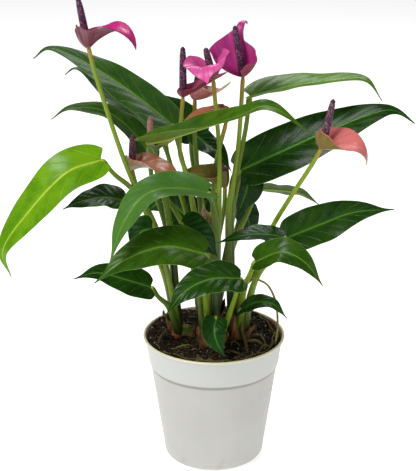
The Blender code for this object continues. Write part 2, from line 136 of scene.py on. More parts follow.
class Finish(Nodes):
    """A surface: a Principled shader with patterns wired to its sockets."""

    FAMILY = "ShaderNode"

    def __init__(self, name, **constants):
        self.material = bpy.data.materials.new(name)
        self.material.use_nodes = True
        super().__init__(self.material.node_tree)
        self.shader = self.tree.nodes["Principled BSDF"]
        self.wear(**constants)

    def place(self):
        return self.add("TexCoord", outlet="Object")

    def value(self, attribute):
        return self.add("Attribute", {"attribute_name": attribute}, outlet="Fac")

    def along(self, attribute):
        """The two directions of the piece's own UV map."""
        mapped = self.add("UVMap", {"uv_map": attribute})
        return [self.add("SeparateXYZ", {}, [mapped], outlet=way) for way in (0, 1)]

    def wear(self, **inputs):
        """Sets the shader's sockets, or wires patterns to them: base_color and the like."""
        for socket, value in inputs.items():
            title = socket.replace("_", " ").title().replace("Ior", "IOR")
            self.feed(self.shader.inputs[title], value)

    def relief(self, height, depth):
        """Bumps whose full height is depth, in metres."""
        self.wear(normal=self.add("Bump", {}, {"Height": height, "Distance": depth,
                                               "Strength": 1.0}))


# ---- Sight, table and light ----
# A wide white table that glows a little, a large soft box above and to the left, a weaker one
# at the right, and a strip behind that lights the leaf edges.
SIGHT_PLACE = (-0.005, -1.150, 0.6315)
SIGHT_DROP = 20.6               # degrees below the horizon
SIGHT_LENS = 113.3
AIR_GLOW, TABLE_GLOW = 0.22, 0.56
TABLE_RADIUS, TABLE_SIDES = 8.0, 96
WHITE = (1, 1, 1, 1)

lens = bpy.data.cameras.new("sight")
lens.lens = SIGHT_LENS
lens.sensor_width = 36
sight = bpy.data.objects.new("sight", lens)
sight.location = SIGHT_PLACE
sight.rotation_euler = (radians(90 - SIGHT_DROP), 0, 0)
scene.collection.objects.link(sight)
scene.camera = sight

for name, stand, aim, width, tall, power in (
        ("key_light", (-0.9, -0.9, 1.5), (0, 0, 0.25), 0.7, 0.7, 25),
        ("fill_light", (1.3, -1.2, 0.7), (0, 0, 0.2), 1.0, 1.2, 5),
        ("front_light", (0, -1.7, 0.35), (0, 0, 0.15), 1.6, 0.5, 3),
        ("edge_light", (0.1, 1.1, 1.5), (0, 0, 0.3), 1.4, 0.4, 14)):
    lamp = bpy.data.lights.new(name, "AREA")
    lamp.shape = "RECTANGLE"
    lamp.size, lamp.size_y, lamp.energy = width, tall, power
    holder = bpy.data.objects.new(name, lamp)
    holder.location = stand
    holder.rotation_euler = (Vector(aim) - Vector(stand)).to_track_quat("-Z", "Y").to_euler()
    scene.collection.objects.link(holder)

air = bpy.data.worlds.new("air")
air.use_nodes = True
air.node_tree.nodes["Background"].inputs["Color"].default_value = WHITE
air.node_tree.nodes["Background"].inputs["Strength"].default_value = AIR_GLOW
scene.world = air
scene.view_settings.view_transform = "Standard"

disc = bmesh.new()
bmesh.ops.create_circle(disc, cap_ends=True, segments=TABLE_SIDES, radius=TABLE_RADIUS)
board = bpy.data.meshes.new("table_top")
disc.to_mesh(board)
disc.free()
table = bpy.data.objects.new("table_top", board)
scene.collection.objects.link(table)
board.materials.append(Finish("table_paint", base_color=(0.85, 0.85, 0.85, 1), roughness=0.9,
                              emission_color=WHITE, emission_strength=TABLE_GLOW).material)


# ---- Meshes ----
def add_piece(name, mesh, finish, slot, *nodes):
    """Puts a finished mesh in the scene, riding the pot, in place of its CAD nodes."""
    if finish:
        mesh.materials.clear()
        mesh.materials.append(finish.material)
    piece = bpy.data.objects.new(name, mesh)
    scene.collection.objects.link(piece)
    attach(piece, "root")
    if nodes:
        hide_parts(*nodes)


def closed(bm, name, smooth=True):
    """A mesh from bmesh work, with its faces pointing out."""
    bmesh.ops.recalc_face_normals(bm, faces=bm.faces)
    mesh = bpy.data.meshes.new(name)
    bm.to_mesh(mesh)
    bm.free()
    if smooth:
        mesh.shade_smooth()
    return mesh


def applied(piece):
    """The piece's mesh with its modifiers in it."""
    depsgraph = bpy.context.evaluated_depsgraph_get()
    return bpy.data.meshes.new_from_object(piece.evaluated_get(depsgraph), depsgraph=depsgraph)


def circle(radius, sides):
    """Points (x, y) evenly round a circle."""
    turns = [WHOLE_TURN * k / sides for k in range(sides)]
    return [(radius * cos(turn), radius * sin(turn)) for turn in turns]


def arc(centre, radius, start, end, steps):
    """Points (r, z) along an arc, by angles in degrees from +r towards +z."""
    turns = [radians(start + (end - start) * i / steps) for i in range(steps + 1)]
    return [(centre[0] + radius * cos(t), centre[1] + radius * sin(t)) for t in turns]


def bridge(bm, rings):
    """Joins closed rings of vertices, each to the next."""
    for inner, outer in zip(rings, rings[1:]):
        for k in range(len(inner)):
            n = (k + 1) % len(inner)
            bm.faces.new((inner[k], outer[k], outer[n], inner[n]))


def turned(name, outline, sides):
    """A closed solid turned about z from an open outline that starts and ends on the axis."""
    bm = bmesh.new()
    verts = [bm.verts.new((radius, 0, height)) for radius, height in outline]
    edges = [bm.edges.new(pair) for pair in zip(verts, verts[1:])]
    bmesh.ops.spin(bm, geom=verts + edges, cent=(0, 0, 0), axis=(0, 0, 1),
                   angle=WHOLE_TURN, steps=sides, use_merge=True)
    bmesh.ops.remove_doubles(bm, verts=bm.verts, dist=1e-6)
    bmesh.ops.dissolve_degenerate(bm, edges=bm.edges, dist=1e-7)
    return closed(bm, name)


# ---- Pot ----
# One thin moulding of off-white plastic, turned about z: a rolled lip, a straight band under
# it, a sloping step, a tapering body and a foot ring that is notched so that water runs out.
POT_RADIUS, _, POT_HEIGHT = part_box("pot")[1]
POT_SIDES = 144
BASE_RADIUS = 0.0425
WALL = 0.0013
BAND = 0.024
BAND_STEP = 0.0022
FOOT_ROUND = 0.006
FOOT_WIDTH = 0.0050             # of the ring that the pot stands on
FOOT_RING = 0.0016              # how far the floor is raised inside the ring
LIP = 0.0011                    # radius of the rolled lip
DRAINS, DRAIN_RADIUS = 8, 0.0030
NOTCHES, NOTCH_WIDTH, NOTCH_HEIGHT, NOTCH_TURN = 4, 0.014, 0.0016, 98

BAND_FOOT = POT_HEIGHT - BAND
POT_TAPER = (POT_RADIUS - BASE_RADIUS) / POT_HEIGHT
band_radius = POT_RADIUS - POT_TAPER * BAND - 0.0010
body_radius = band_radius - BAND_STEP + 0.0006
top = POT_HEIGHT - LIP
ring = BASE_RADIUS - FOOT_ROUND
outline = [(0, FOOT_RING), (ring - FOOT_WIDTH, FOOT_RING), (ring - 0.0035, 0), (ring, 0)]
outline += arc((ring, FOOT_ROUND), FOOT_ROUND, -80, -8, 10)
outline += [(BASE_RADIUS + (body_radius - BASE_RADIUS) * share,
             FOOT_ROUND + (BAND_FOOT - 0.003 - FOOT_ROUND) * share) for share in (.3, .6, .97, 1)]
outline += [(body_radius + 0.0003, BAND_FOOT - 0.0026), (band_radius - 0.0004, BAND_FOOT),
            (band_radius, BAND_FOOT + 0.0008), (POT_RADIUS - LIP - 0.0009, top - 0.0022),
            (POT_RADIUS - LIP - 0.0005, top - 0.0012)]
outline += arc((POT_RADIUS - LIP, top), LIP, -60, 180, 12)
outline += [(POT_RADIUS - 2 * LIP, top - 0.002), (band_radius - WALL, BAND_FOOT + 0.003),
            (body_radius - WALL, BAND_FOOT - 0.001), (BASE_RADIUS - WALL, FOOT_ROUND),
            (ring, FOOT_RING + WALL), (0, FOOT_RING + WALL)]
pot_draft = bpy.data.objects.new("pot_draft", turned("pot_draft", outline, POT_SIDES))
holes = bmesh.new()
drain_circle = ring - FOOT_WIDTH - 1.5 * DRAIN_RADIUS
for hole in range(DRAINS):
    turn = WHOLE_TURN * (hole + 0.5) / DRAINS
    drain = bmesh.ops.create_cone(holes, cap_ends=True, segments=20, radius1=DRAIN_RADIUS,
                                  radius2=DRAIN_RADIUS, depth=0.02)["verts"]
    bmesh.ops.translate(holes, verts=drain, vec=(drain_circle * cos(turn),
                                                 drain_circle * sin(turn), 0))
for notch in range(NOTCHES):
    turn = WHOLE_TURN * notch / NOTCHES - radians(NOTCH_TURN)
    gap = bmesh.ops.create_cube(holes, size=1)["verts"]
    bmesh.ops.scale(holes, verts=gap, vec=(0.016, NOTCH_WIDTH, 2 * NOTCH_HEIGHT))
    bmesh.ops.translate(holes, verts=gap, vec=(BASE_RADIUS - 0.003, 0, 0))
    bmesh.ops.rotate(holes, verts=gap, cent=(0, 0, 0), matrix=Matrix.Rotation(turn, 3, "Z"))
cutter = bpy.data.objects.new("pot_cutter", closed(holes, "pot_cutter", smooth=False))
for draft in (pot_draft, cutter):
    scene.collection.objects.link(draft)
cut = pot_draft.modifiers.new("holes", "BOOLEAN")
cut.operation = "DIFFERENCE"
cut.object = cutter
pot_mesh = applied(pot_draft)
for draft in (pot_draft, cutter):
    bpy.data.objects.remove(draft)
pot_mesh.set_sharp_from_angle(angle=radians(32))

plastic = Finish("pot_plastic", roughness=0.35, subsurface_weight=0.15, subsurface_scale=0.004,
                 specular_ior_level=0.45)
place = plastic.place()
height = plastic.add("SeparateXYZ", {}, [place], outlet=2)
tint = place.cloud(14).fade(0.35, 0.7).mix(0xB2B1AC, 0xBAB9B4)
tint = height.fade(BAND_FOOT - 0.0016, BAND_FOOT).mix(tint, 0xBCBDB9)
tint = height.fade(POT_HEIGHT - 0.0020, POT_HEIGHT - 0.0008).mix(tint, 0xD6D0B2)
# A dark line painted just under the band's step: painted shadow cast by the step, with a little dirt in
# the groove.
painted_step_shadow = (height.fade(BAND_FOOT - 0.0050, BAND_FOOT - 0.0026)
          * height.fade(BAND_FOOT - 0.0006, BAND_FOOT - 0.0020))
tint = (painted_step_shadow * 0.75).mix(tint, 0x77746E)
splash = height.fade(0.034, 0.002) * place.cloud(90, 5).fade(0.50, 0.75)
specks = place.cloud(420, 2).fade(0.70, 0.76)
dirt = splash * 0.35 + specks * 0.45 * height.fade(0.05, 0.005)
streaks = place.drawn_out(0.12).cloud(160).fade(0.55, 0.8) * 0.06
plastic.wear(base_color=(dirt + streaks).mix(tint, 0x9A8F7C),
             roughness=0.33 + 0.18 * place.cloud(60) + 0.2 * dirt)
plastic.relief(place.drawn_out(0.3).cloud(180), 0.00012)
add_piece("pot_moulding", pot_mesh, plastic, "pot_plastic", "pot")

# ---- Soil ----
# Dark peat that fills the pot, loose and lumpy on top, with crumbs of bark lying on it and
# thin root fibres all through it.
SOIL_LEVEL = POT_HEIGHT - 0.003
SOIL_DOME = 0.0012
SOIL_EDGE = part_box("soil")[1][0]
SOIL_RINGS, SOIL_SIDES = 44, 132
PATCH_RINGS, PATCH_SIDES = 24, 96
CROWNS = {"left": (-25, 4), "front": (-3, -15), "right": (20, 0), "back": (-5, 24)}
HEAP_RADIUS, HEAP_HEIGHT = 0.012, 0.0035


def soil_height(x, y):
    """The lumpy top of the soil, heaped a little round each crown."""
    share = hypot(x, y) / SOIL_EDGE
    lumps = 0.0032 * noise.fractal(Vector((x, y, 0.3)) * 70, 0.9, 2.1, 4)
    heap = 0.0
    for cx, cy in CROWNS.values():
        away = hypot(x - cx * MM, y - cy * MM) / HEAP_RADIUS
        heap += HEAP_HEIGHT * exp(-away * away)
    bank = (0.0042 + 0.0024 * y / SOIL_EDGE) * share ** 5 - 0.0030 * share ** 60
    return SOIL_LEVEL - 0.0008 - SOIL_DOME * share ** 2 + lumps + heap + bank


def soil_ring(bm, radius, sides):
    return [bm.verts.new((x, y, soil_height(x, y))) for x, y in circle(radius, sides)]


def soil_patch(inner, outer):
    """The open top of the soil between two radii, for things to be strewn on."""
    bm = bmesh.new()
    bridge(bm, [soil_ring(bm, inner + (outer - inner) * step / PATCH_RINGS, PATCH_SIDES)
                for step in range(PATCH_RINGS + 1)])
    return closed(bm, "soil_patch")


bm = bmesh.new()
middle = bm.verts.new((0, 0, soil_height(0, 0)))
rings = [soil_ring(bm, SOIL_EDGE * step / SOIL_RINGS, SOIL_SIDES)
         for step in range(1, SOIL_RINGS + 1)]
rings += [[bm.verts.new((*spot, low)) for spot in circle(radius, SOIL_SIDES)]
          for radius, low in ((BASE_RADIUS + 0.0085, BAND_FOOT), (BASE_RADIUS - 0.0030, 0.010),
                              (BASE_RADIUS - 0.0085, FOOT_RING + WALL + 0.0003))]
for k in range(SOIL_SIDES):
    bm.faces.new((middle, rings[0][k], rings[0][(k + 1) % SOIL_SIDES]))
bridge(bm, rings)
bm.faces.new(rings[-1])

peat = Finish("peat", roughness=0.95, specular_ior_level=0.25)
place = peat.place()
grain = place.cloud(420, 4, 0.6)
tint = grain.fade(0.42, 0.66).mix(0x0C0805, 0x22170F)
peat.wear(base_color=place.cloud(900, 2).fade(0.64, 0.72).mix(tint, 0x6E5637))
peat.relief(grain, 0.0012)
add_piece("soil_bed", closed(bm, "soil_bed"), peat, "soil", "soil")


class Grower(Nodes):
    """A Geometry Nodes tree with named sizes as its inputs."""

    FAMILY = "GeometryNode"
    KINDS = {float: "NodeSocketFloat", int: "NodeSocketInt"}

    def __init__(self, name, **sizes):
        super().__init__(bpy.data.node_groups.new(name, "GeometryNodeTree"))
        face = self.tree.interface
        face.new_socket("Base", in_out="INPUT", socket_type="NodeSocketGeometry")
        face.new_socket("Result", in_out="OUTPUT", socket_type="NodeSocketGeometry")
        self.keys = {}
        for size, value in sizes.items():
            socket = face.new_socket(size, in_out="INPUT", socket_type=self.KINDS[type(value)])
            socket.default_value = value
            self.keys[size] = socket.identifier
        self.entry = self.tree.nodes.new("NodeGroupInput")

    def size(self, name):
        return Wire(self, self.entry.outputs[name])

    def random(self, low, high, seed):
        """A vector for each point or instance, drawn evenly between low and high."""
        return self.add("FunctionNodeRandomValue", {"data_type": "FLOAT_VECTOR"},
                        {0: low, 1: high, "Seed": seed})

    def shaded(self, instances, seed):
        """Gives each instance its own shade from 0 to 1, for the finish to read."""
        shade = self.add("FunctionNodeRandomValue", {"data_type": "FLOAT"},
                         {2: 0.0, 3: 1.0, "Seed": seed}, outlet=1)
        return self.add("StoreNamedAttribute", {"data_type": "FLOAT", "domain": "INSTANCE"},
                        {"Geometry": instances, "Name": "shade", "Value": shade})

    def strewn(self, thing, seed, turns, scales):
        """Copies of a thing on the base's faces, turned, scaled and shaded by chance."""
        spots = self.add("DistributePointsOnFaces", {},
                         {"Mesh": self.size("Base"), "Density": self.size("density"),
                          "Seed": seed})
        laid = self.add("InstanceOnPoints", {},
                        {"Points": spots, "Instance": thing,
                         "Rotation": self.random(*turns, seed + 1),
                         "Scale": self.random(*scales, seed + 2)})
        return self.shaded(laid, seed + 3)

    def end(self, geometry, material):
        """Real faces in the finish that they wear."""
        real = self.add("RealizeInstances", {}, [geometry])
        worn = self.add("SetMaterial", {}, {"Geometry": real, "Material": material})
        leave = self.tree.nodes.new("NodeGroupOutput")
        self.tree.links.new(worn.socket, leave.inputs[0])

    def grown(self, name, base=None, **sizes):
        """The plain mesh that the tree makes on a base mesh with these sizes."""
        holder = bpy.data.objects.new(name, base or bpy.data.meshes.new(name))
        scene.collection.objects.link(holder)
        step = holder.modifiers.new("grow", "NODES")
        step.node_group = self.tree
        for size, value in sizes.items():
            step[self.keys[size]] = value
        mesh = applied(holder)
        bpy.data.objects.remove(holder)
        mesh.shade_smooth()
        return mesh


litter = Finish("litter", roughness=0.9, specular_ior_level=0.3)
place, shade = litter.place(), litter.value("shade")
tint = shade.fade(0.45, 0.75).mix(0x0D0805, 0x2A1A0E)
tint = shade.fade(0.86, 0.93).mix(tint, 0x6A5636)
tint = shade.fade(0.95, 0.97).mix(tint, 0xC4B89A)
litter.wear(base_color=(place.cloud(700) * 0.5).mix(tint, 0x0B0705))
litter.relief(place.cloud(1500), 0.0004)

crumbs = Grower("crumbs", size=0.001, density=100000.0)
crumb = crumbs.add("MeshIcoSphere", {}, {"Radius": crumbs.size("size"), "Subdivisions": 1})
crumbs.end(crumbs.strewn(crumb, 4, ((0, 0, 0), (6.3, 6.3, 6.3)),
                         ((.35, .35, .25), (1.7, 1.2, .8))), litter.material)
for name, inner, outer, size, density in (("soil_crumbs", 0.002, 0.001, 0.00085, 420000.0),
                                          ("bark_chips", 0.006, 0.002, 0.0021, 17000.0)):
    mesh = crumbs.grown(name, soil_patch(inner, SOIL_EDGE - outer), size=size, density=density)
    add_piece(name, mesh, None, "soil")

fibre = Finish("fibre", roughness=0.8, specular_ior_level=0.3)
shade = fibre.value("shade")
tint = shade.fade(0.3, 0.7).mix(0x2E2210, 0x7C6A35)
fibre.wear(base_color=shade.fade(0.86, 0.92).mix(tint, 0xCFC49A))

fibres = Grower("fibres", length=0.01, width=0.0002, density=10000.0)
bow = fibres.add("CurveQuadraticBezier", {}, {"Resolution": 7, "Start": (-0.5, 0, 0),
                                              "Middle": (0.05, 0.42, 0.5),
                                              "End": (0.5, 0, -0.05)})
bow = fibres.add("Transform", {}, {"Geometry": bow,
                                   "Scale": fibres.vector(*[fibres.size("length")] * 3)})
outline = fibres.add("CurvePrimitiveCircle", {}, {"Resolution": 3, "Radius": fibres.size("width")})
thread = fibres.add("CurveToMesh", {}, {"Curve": bow, "Profile Curve": outline,
                                        "Fill Caps": True})
fibres.end(fibres.strewn(thread, 11, ((-.5, -.35, 0), (.5, .35, 6.3)),
                         ((.4, .4, .3), (1.3, 1.5, .8))), fibre.material)
mesh = fibres.grown("soil_fibres", soil_patch(0.004, SOIL_EDGE - 0.005), length=0.009,
                    width=0.00013, density=70000.0)
add_piece("soil_fibres", mesh, None, "soil")

# ---- Roots ----
# Fleshy surface roots that have crept out of the pot: brown and tan strands that run round
# inside the lip, thicker old roots near the crowns, and a long aerial root over the pot's edge.


def plant_point(point):
    """A point given in millimetres from the middle of the soil's surface."""
    x, y, z = point
    return Vector((x * MM, y * MM, SOIL_LEVEL + z * MM))


def threes(numbers):
    """Points from a plain run of numbers, three for each."""
    return list(zip(*[iter(numbers)] * 3))


def smooth_path(points, steps):
    """A Catmull-Rom curve through the points, with this many steps between each two."""
    ends = [2 * points[0] - points[1], *points, 2 * points[-1] - points[-2]]
    path = []
    for a, b, c, d in zip(ends, ends[1:], ends[2:], ends[3:]):
        for i in range(steps):
            t = i / steps
            path.append(0.5 * (2 * b + (c - a) * t + (2 * a - 5 * b + 4 * c - d) * t ** 2
                               + (3 * b - a - 3 * c + d) * t ** 3))
    path.append(points[-1])
    return path


def marks(bm, names):
    """The vertex attributes of these names."""
    layers = bm.verts.layers.float
    return {name: layers.get(name) or layers.new(name) for name in names}


def tube(bm, path, radii, sides, **shares):
    """Adds a closed tube to bm, with attributes: rise along it, and any constant shares."""
    layers = marks(bm, ("rise", *shares))
    rings = []
    across = Vector((1, 0, 0))
    last = len(path) - 1
    for i, (centre, radius) in enumerate(zip(path, radii)):
        along = (path[min(i + 1, last)] - path[max(i - 1, 0)]).normalized()
        across = (across - across.dot(along) * along).normalized()
        up = along.cross(across)
        rings.append([bm.verts.new(centre + radius * (x * across + y * up))
                      for x, y in circle(1, sides)])
        for vert in rings[-1]:
            for name, value in {"rise": i / last, **shares}.items():
                vert[layers[name]] = value
    bridge(bm, rings)
    bm.faces.new(rings[0])
    bm.faces.new(rings[-1])


root_skin = Finish("root_skin", roughness=0.7, specular_ior_level=0.3)
place = root_skin.place()
tint = root_skin.value("shade").mix(0x3C3018, 0x7C7432)
root_skin.wear(base_color=(place.cloud(260).fade(0.5, 0.7) * 0.6).mix(tint, 0x3A2814))
root_skin.relief(place.cloud(800), 0.0005)

draw = random.Random(7)
RIM_ROOTS, RIM_STEPS = 16, 6
bm = bmesh.new()
for number in range(RIM_ROOTS):
    start = draw.uniform(0, WHOLE_TURN) if number > 8 else draw.uniform(3.4, 6.0)
    span = draw.uniform(0.3, 0.9)
    radius = SOIL_EDGE - draw.uniform(0.0015, 0.006)
    girth = draw.uniform(0.0003, 0.0006)
    points = []
    for step in range(RIM_STEPS + 1):
        turn = start + span * step / RIM_STEPS
        reach = radius + draw.uniform(-0.0022, 0.0010)
        x, y = reach * cos(turn), reach * sin(turn)
        points.append(Vector((x, y, soil_height(x, y) + draw.uniform(-0.0003, 0.0020))))
    path = smooth_path(points, 4)
    tube(bm, path, [girth] * len(path), 7, shade=draw.uniform(0.3, 1))
for girth, shade, *points in (
        (1.7, .25, (23, -14, 18), (24, -16, 9), (26, -19, 4), (27, -25, 1), (28, -31, -3)),
        (1.4, .45, (27, -18, 3), (31, -20, 5), (36, -21, 5), (41, -21, 1)),
        (1.0, .55, (30, -9, 2), (34, -12, 7), (40, -14, 6), (44, -20, 0)),
        (1.3, .15, (-34, -2, 2), (-40, -6, 7), (-45, -11, 4), (-47, -16, -2)),
        (.9, .6, (-16, -22, 0), (-22, -27, 4), (-30, -29, 3), (-36, -27, -2)),
        (.8, .4, (6, -32, -2), (12, -36, 3), (19, -38, 2), (24, -34, -2)),
        (.8, .3, (36, -34, -2), (40, -30, 4), (45, -27, 3), (47, -22, -2))):
    path = smooth_path([plant_point(point) for point in points], 6)
    radii = [girth * MM * (1 - 0.3 * abs(2 * i / (len(path) - 1) - 1)) for i in range(len(path))]
    tube(bm, path, radii, 9, shade=shade)
add_piece("surface_roots", closed(bm, "surface_roots"), root_skin, "root")

AERIAL_RADIUS = 0.0009
bm = bmesh.new()
aerial = [(30, -20, 62), (37, -21, 60), (45, -20, 54), (51, -20, 40), (53, -20, 20), (51, -21, 2)]
path = smooth_path([plant_point(point) for point in aerial], 8)
tube(bm, path, [AERIAL_RADIUS] * len(path), 10, shade=0.95)
add_piece("aerial_root_strand", closed(bm, "aerial_root_strand"), root_skin, "root",
          "aerial_root")

# ---- Crowns, petioles and flower stalks ----
# Each small plant is one grown body: a short crown in the soil, a petiole for each leaf, with
# a swollen pale joint under the blade, and a thinner stalk for each flower.
CROWN_RADIUS = 0.0095
CROWN_DEPTH = 0.020
CROWN_RISE = 0.008
STEM_BASE = 0.0036
STEM_SIDES = 12
PETIOLE_RADIUS = 0.0018
STALK_RADIUS = 0.0017
JOINT_LENGTH = 0.009
JOINT_SWELL = 0.42              # how much thicker the joint under a blade is

draw = random.Random(3)
clump = {name: bmesh.new() for name in CROWNS}


def add_stem(crown, points, end, top_radius, joint, tint):
    """A stem from its crown through the points to its end, in millimetres."""
    x, y = CROWNS[crown]
    points = threes(points)
    goal = Vector(points[0])
    lean = Vector((goal.x - x, goal.y - y, 0))
    lean = lean.normalized() * 0.5 * CROWN_RADIUS / MM if lean.length > 1 else lean
    root = (x + lean.x, y + lean.y, -5)
    path = smooth_path([plant_point(point) for point in (root, *points, end)], 14)
    last = len(path) - 1
    left = 0.0
    radii = []
    for i in range(last, -1, -1):
        share = i / last
        swell = joint * exp(-((left - JOINT_LENGTH / 2) / (JOINT_LENGTH / 2)) ** 2)
        radii.append((top_radius + (STEM_BASE - top_radius) * (1 - share) ** 2.2)
                     * (1 + swell + 0.03 * sin(9 * share + tint * 20)))
        left += (path[i] - path[max(i - 1, 0)]).length
    radii.reverse()
    radii[-1] *= 0.6
    tube(clump[crown], path, radii, STEM_SIDES, tint=tint, stalk=0.0 if joint else 1.0)


stem_skin = Finish("stem_skin", roughness=0.42, specular_ior_level=0.35, subsurface_weight=0.1,
                   subsurface_scale=0.002)
place = stem_skin.place()
rise, tint, stalk = [stem_skin.value(name) for name in ("rise", "tint", "stalk")]
# The lower part of each stem is painted darker towards the foot: painted shade deep in the bunch of
# leaves.
green = rise.fade(0.36, 0.04).mix(tint.mix(0x3A5A06, 0x748C12), 0x2C3C0A)
green = (rise.fade(0.86, 1.0) * stalk).mix(green, 0x9A7A20)
green = (rise.fade(0.95, 1.0) * (1 - stalk)).mix(green, 0x8CA42A)
# Dark cloudy patches painted on the lower stems: painted shade cast by the leaves above.
painted_shade_patches = place.cloud(55, 4).fade(0.50, 0.72) * rise.fade(0.7, 0.0)
green = (painted_shade_patches * 0.7).mix(green, 0x2A380C)
green = (place.cloud(190).fade(0.66, 0.72) * 0.5).mix(green, 0x6B4A22)
stem_skin.wear(base_color=green, roughness=0.36 + 0.2 * place.cloud(120))
stem_skin.relief(place.drawn_out(0.08).cloud(900, 2), 0.00025)

# ---- Leaves ----
# Long heart-shaped blades, thin and leathery, with a raised midrib and side veins that run out
# and forwards.  Old ones are dark and glossy, the youngest are yellow-green and softer.
BLADE_THICKNESS = 0.00055
MIDRIB_DEPTH = 0.0012           # how far the midrib stands out below
BLADE_ROWS, BLADE_COLUMNS = 60, 28
VEINS = 8.0                     # side veins over the length of a blade
VEIN_SWEEP, VEIN_CURVE = 0.34, 0.12
VEIN_STAGGER = 0.45             # how far the veins of the right half are ahead
LEAF_OUTLINE = ((0, .55), (.03, .78), (.08, .93), (.18, 1), (.35, .97), (.50, .84),
                (.65, .62), (.78, .36), (.88, .14), (.94, .06), (1, .02))
LOBE_REACH = 0.40


def reading(stops, at):
    """A value read from (place, value) stops, by straight lines between them."""
    for (a, low), (b, high) in zip(stops, stops[1:]):
        if at <= b:
            return low + (high - low) * (at - a) / (b - a)
    return stops[-1][1]


def rounded(stops):
    """The same stops with a smooth curve drawn through them."""
    return [(p.x, p.y) for p in smooth_path([Vector((*stop, 0)) for stop in stops], 6)]


class Midrib:
    """A smooth curve from a blade's junction to its tip, measured along its length."""

    def __init__(self, points, face, tip_face):
        self.path = smooth_path([plant_point(point) for point in points], 24)
        self.marks = [0.0]
        for a, b in zip(self.path, self.path[1:]):
            self.marks.append(self.marks[-1] + (b - a).length)
        self.length = self.marks[-1]
        self.face = Vector(face).normalized()
        self.tip_face = Vector(tip_face).normalized()

    def at(self, distance):
        """Place, direction across and direction of the upper face, so far from the junction."""
        last = len(self.path) - 2
        i = 0
        while i < last and self.marks[i + 1] < distance:
            i += 1
        share = (distance - self.marks[i]) / (self.marks[i + 1] - self.marks[i])
        place = self.path[i].lerp(self.path[i + 1], share)
        along = (self.path[min(i + 5, last + 1)] - self.path[max(i - 4, 0)]).normalized()
        face = self.face.lerp(self.tip_face, min(max(distance / self.length, 0), 1))
        face = (face - face.dot(along) * along).normalized()
        return place, along.cross(face), face


def sheet_mesh(name, sheet, thickness, uv, **shares):
    """A closed thin solid on rows of points.

    thickness(i, k) is its thickness below the sheet, uv(i, k) its place on the UV map, and
    the attribute under is 1 on the side that the thickness adds.
    """
    bm = bmesh.new()
    layers = marks(bm, ("under", *shares))
    grid = bm.loops.layers.uv.new("span")
    rows, columns = len(sheet), len(sheet[0])
    top, low, spots = [], [], {}
    for i in range(rows):
        top.append([])
        low.append([])
        for k in range(columns):
            along = sheet[min(i + 1, rows - 1)][k] - sheet[max(i - 1, 0)][k]
            across = sheet[i][min(k + 1, columns - 1)] - sheet[i][max(k - 1, 0)]
            normal = along.cross(across).normalized()
            for under, side in enumerate((top, low)):
                vert = bm.verts.new(sheet[i][k] + normal * thickness(i, k) * under)
                for share, value in {"under": under, **shares}.items():
                    vert[layers[share]] = value
                spots[vert] = uv(i, k)
                side[i].append(vert)
    faces = [(a[k], a[k + 1], b[k + 1], b[k]) for side in (top, low)
             for a, b in zip(side, side[1:]) for k in range(columns - 1)]
    faces += [(top[i][k], top[i + 1][k], low[i + 1][k], low[i][k])
              for k in (0, columns - 1) for i in range(rows - 1)]
    faces += [(top[i][k], top[i][k + 1], low[i][k + 1], low[i][k])
              for i in (0, rows - 1) for k in range(columns - 1)]
    for corners in faces:
        for loop in bm.faces.new(corners).loops:
            loop[grid].uv = spots[loop.vert]
    mesh = closed(bm, name)
    mesh.set_sharp_from_angle(angle=radians(60))
    return mesh


def vein_phase(share, v):
    """Whole at each side vein; share is along the midrib and v across, from -1 to 1."""
    stagger = VEIN_STAGGER if v > 0 else 0
    return VEINS * (share - VEIN_SWEEP * abs(v) + VEIN_CURVE * v * v) + stagger


def spaced(k):
    """How far across the blade a column is, from -1 to 1; they crowd near the midrib."""
    v = 2 * k / BLADE_COLUMNS - 1
    return copysign(abs(v) ** 1.2, v)


def add_leaf(name, crown, petiole, midrib, width, face, tone, fold=15, tip_fold=5, cup=-30,
             lobe=0.05, tip_face=None, bloom=0.0, wave=0.8, quilt=0.12):
    """A blade and its petiole, each on a run of points.

    tone goes from 0, old and dark, to 1, young and yellow-green; bloom is a painted pale sheen.
    fold is the angle that each half rises at the midrib and cup the angle that the whole
    width bends through, in degrees; a negative cup lets the edges droop.  wave and quilt are
    the heights in millimetres of the ripples at the edge and of the puffs between the veins.
    """
    rib = Midrib(threes(midrib), face, tip_face or face)
    outline = rounded(LEAF_OUTLINE)
    turn = draw.uniform(0, 6)
    sheet = []
    for i in range(BLADE_ROWS + 1):
        share = i / BLADE_ROWS
        wide = reading(outline, share)
        rise = radians(fold + (tip_fold - fold) * share)
        bend = radians(cup) * (1 - 0.6 * share)
        reach = lobe * max(1 - share / LOBE_REACH, 0) ** 2
        row = []
        for k in range(BLADE_COLUMNS + 1):
            v = spaced(k)
            back = reach * (1 - 0.45 * abs(v) ** 6) * abs(v) ** 1.6
            spot, across, up = rib.at((share - back) * rib.length)
            radius = width / 2 * MM * wide / (bend / 2)
            out = radius * sin(abs(v) * bend / 2)
            lift = radius * (1 - cos(v * bend / 2))
            side = copysign(out * cos(rise) - lift * sin(rise), v)
            high = out * sin(rise) + lift * cos(rise)
            ripple = sin(11 * share + turn + (2 if v > 0 else 0)) + 0.6 * sin(
                23 * share + 2 * turn)
            high += wave * MM * ripple * v * v * wide * min(4 * share, 1)
            puff = -cos(WHOLE_TURN * vein_phase(share, v))
            high += quilt * MM * puff * sin(pi * min(abs(v), 1)) * wide
            high -= 0.0004 * exp(-(v / 0.05) ** 2) * (1 - share)
            row.append(spot + across * side + up * high)
        sheet.append(row)

    def thickness(i, k):
        v = abs(spaced(k))
        midrib = MIDRIB_DEPTH * exp(-(v / 0.045) ** 2) * (1 - i / BLADE_ROWS)
        return BLADE_THICKNESS * (1 - 0.55 * v ** 6) + midrib

    mesh = sheet_mesh(f"blade_{name}", sheet, thickness,
                      lambda i, k: (0.5 + 0.5 * spaced(k), i / BLADE_ROWS), tone=tone,
                      bloom=bloom)
    add_piece(f"blade_{name}", mesh, leaf_skin, "leaf", f"leaf_{name}")
    add_stem(crown, petiole, midrib[:3], PETIOLE_RADIUS, JOINT_SWELL, draw.uniform(0.2, 0.9))


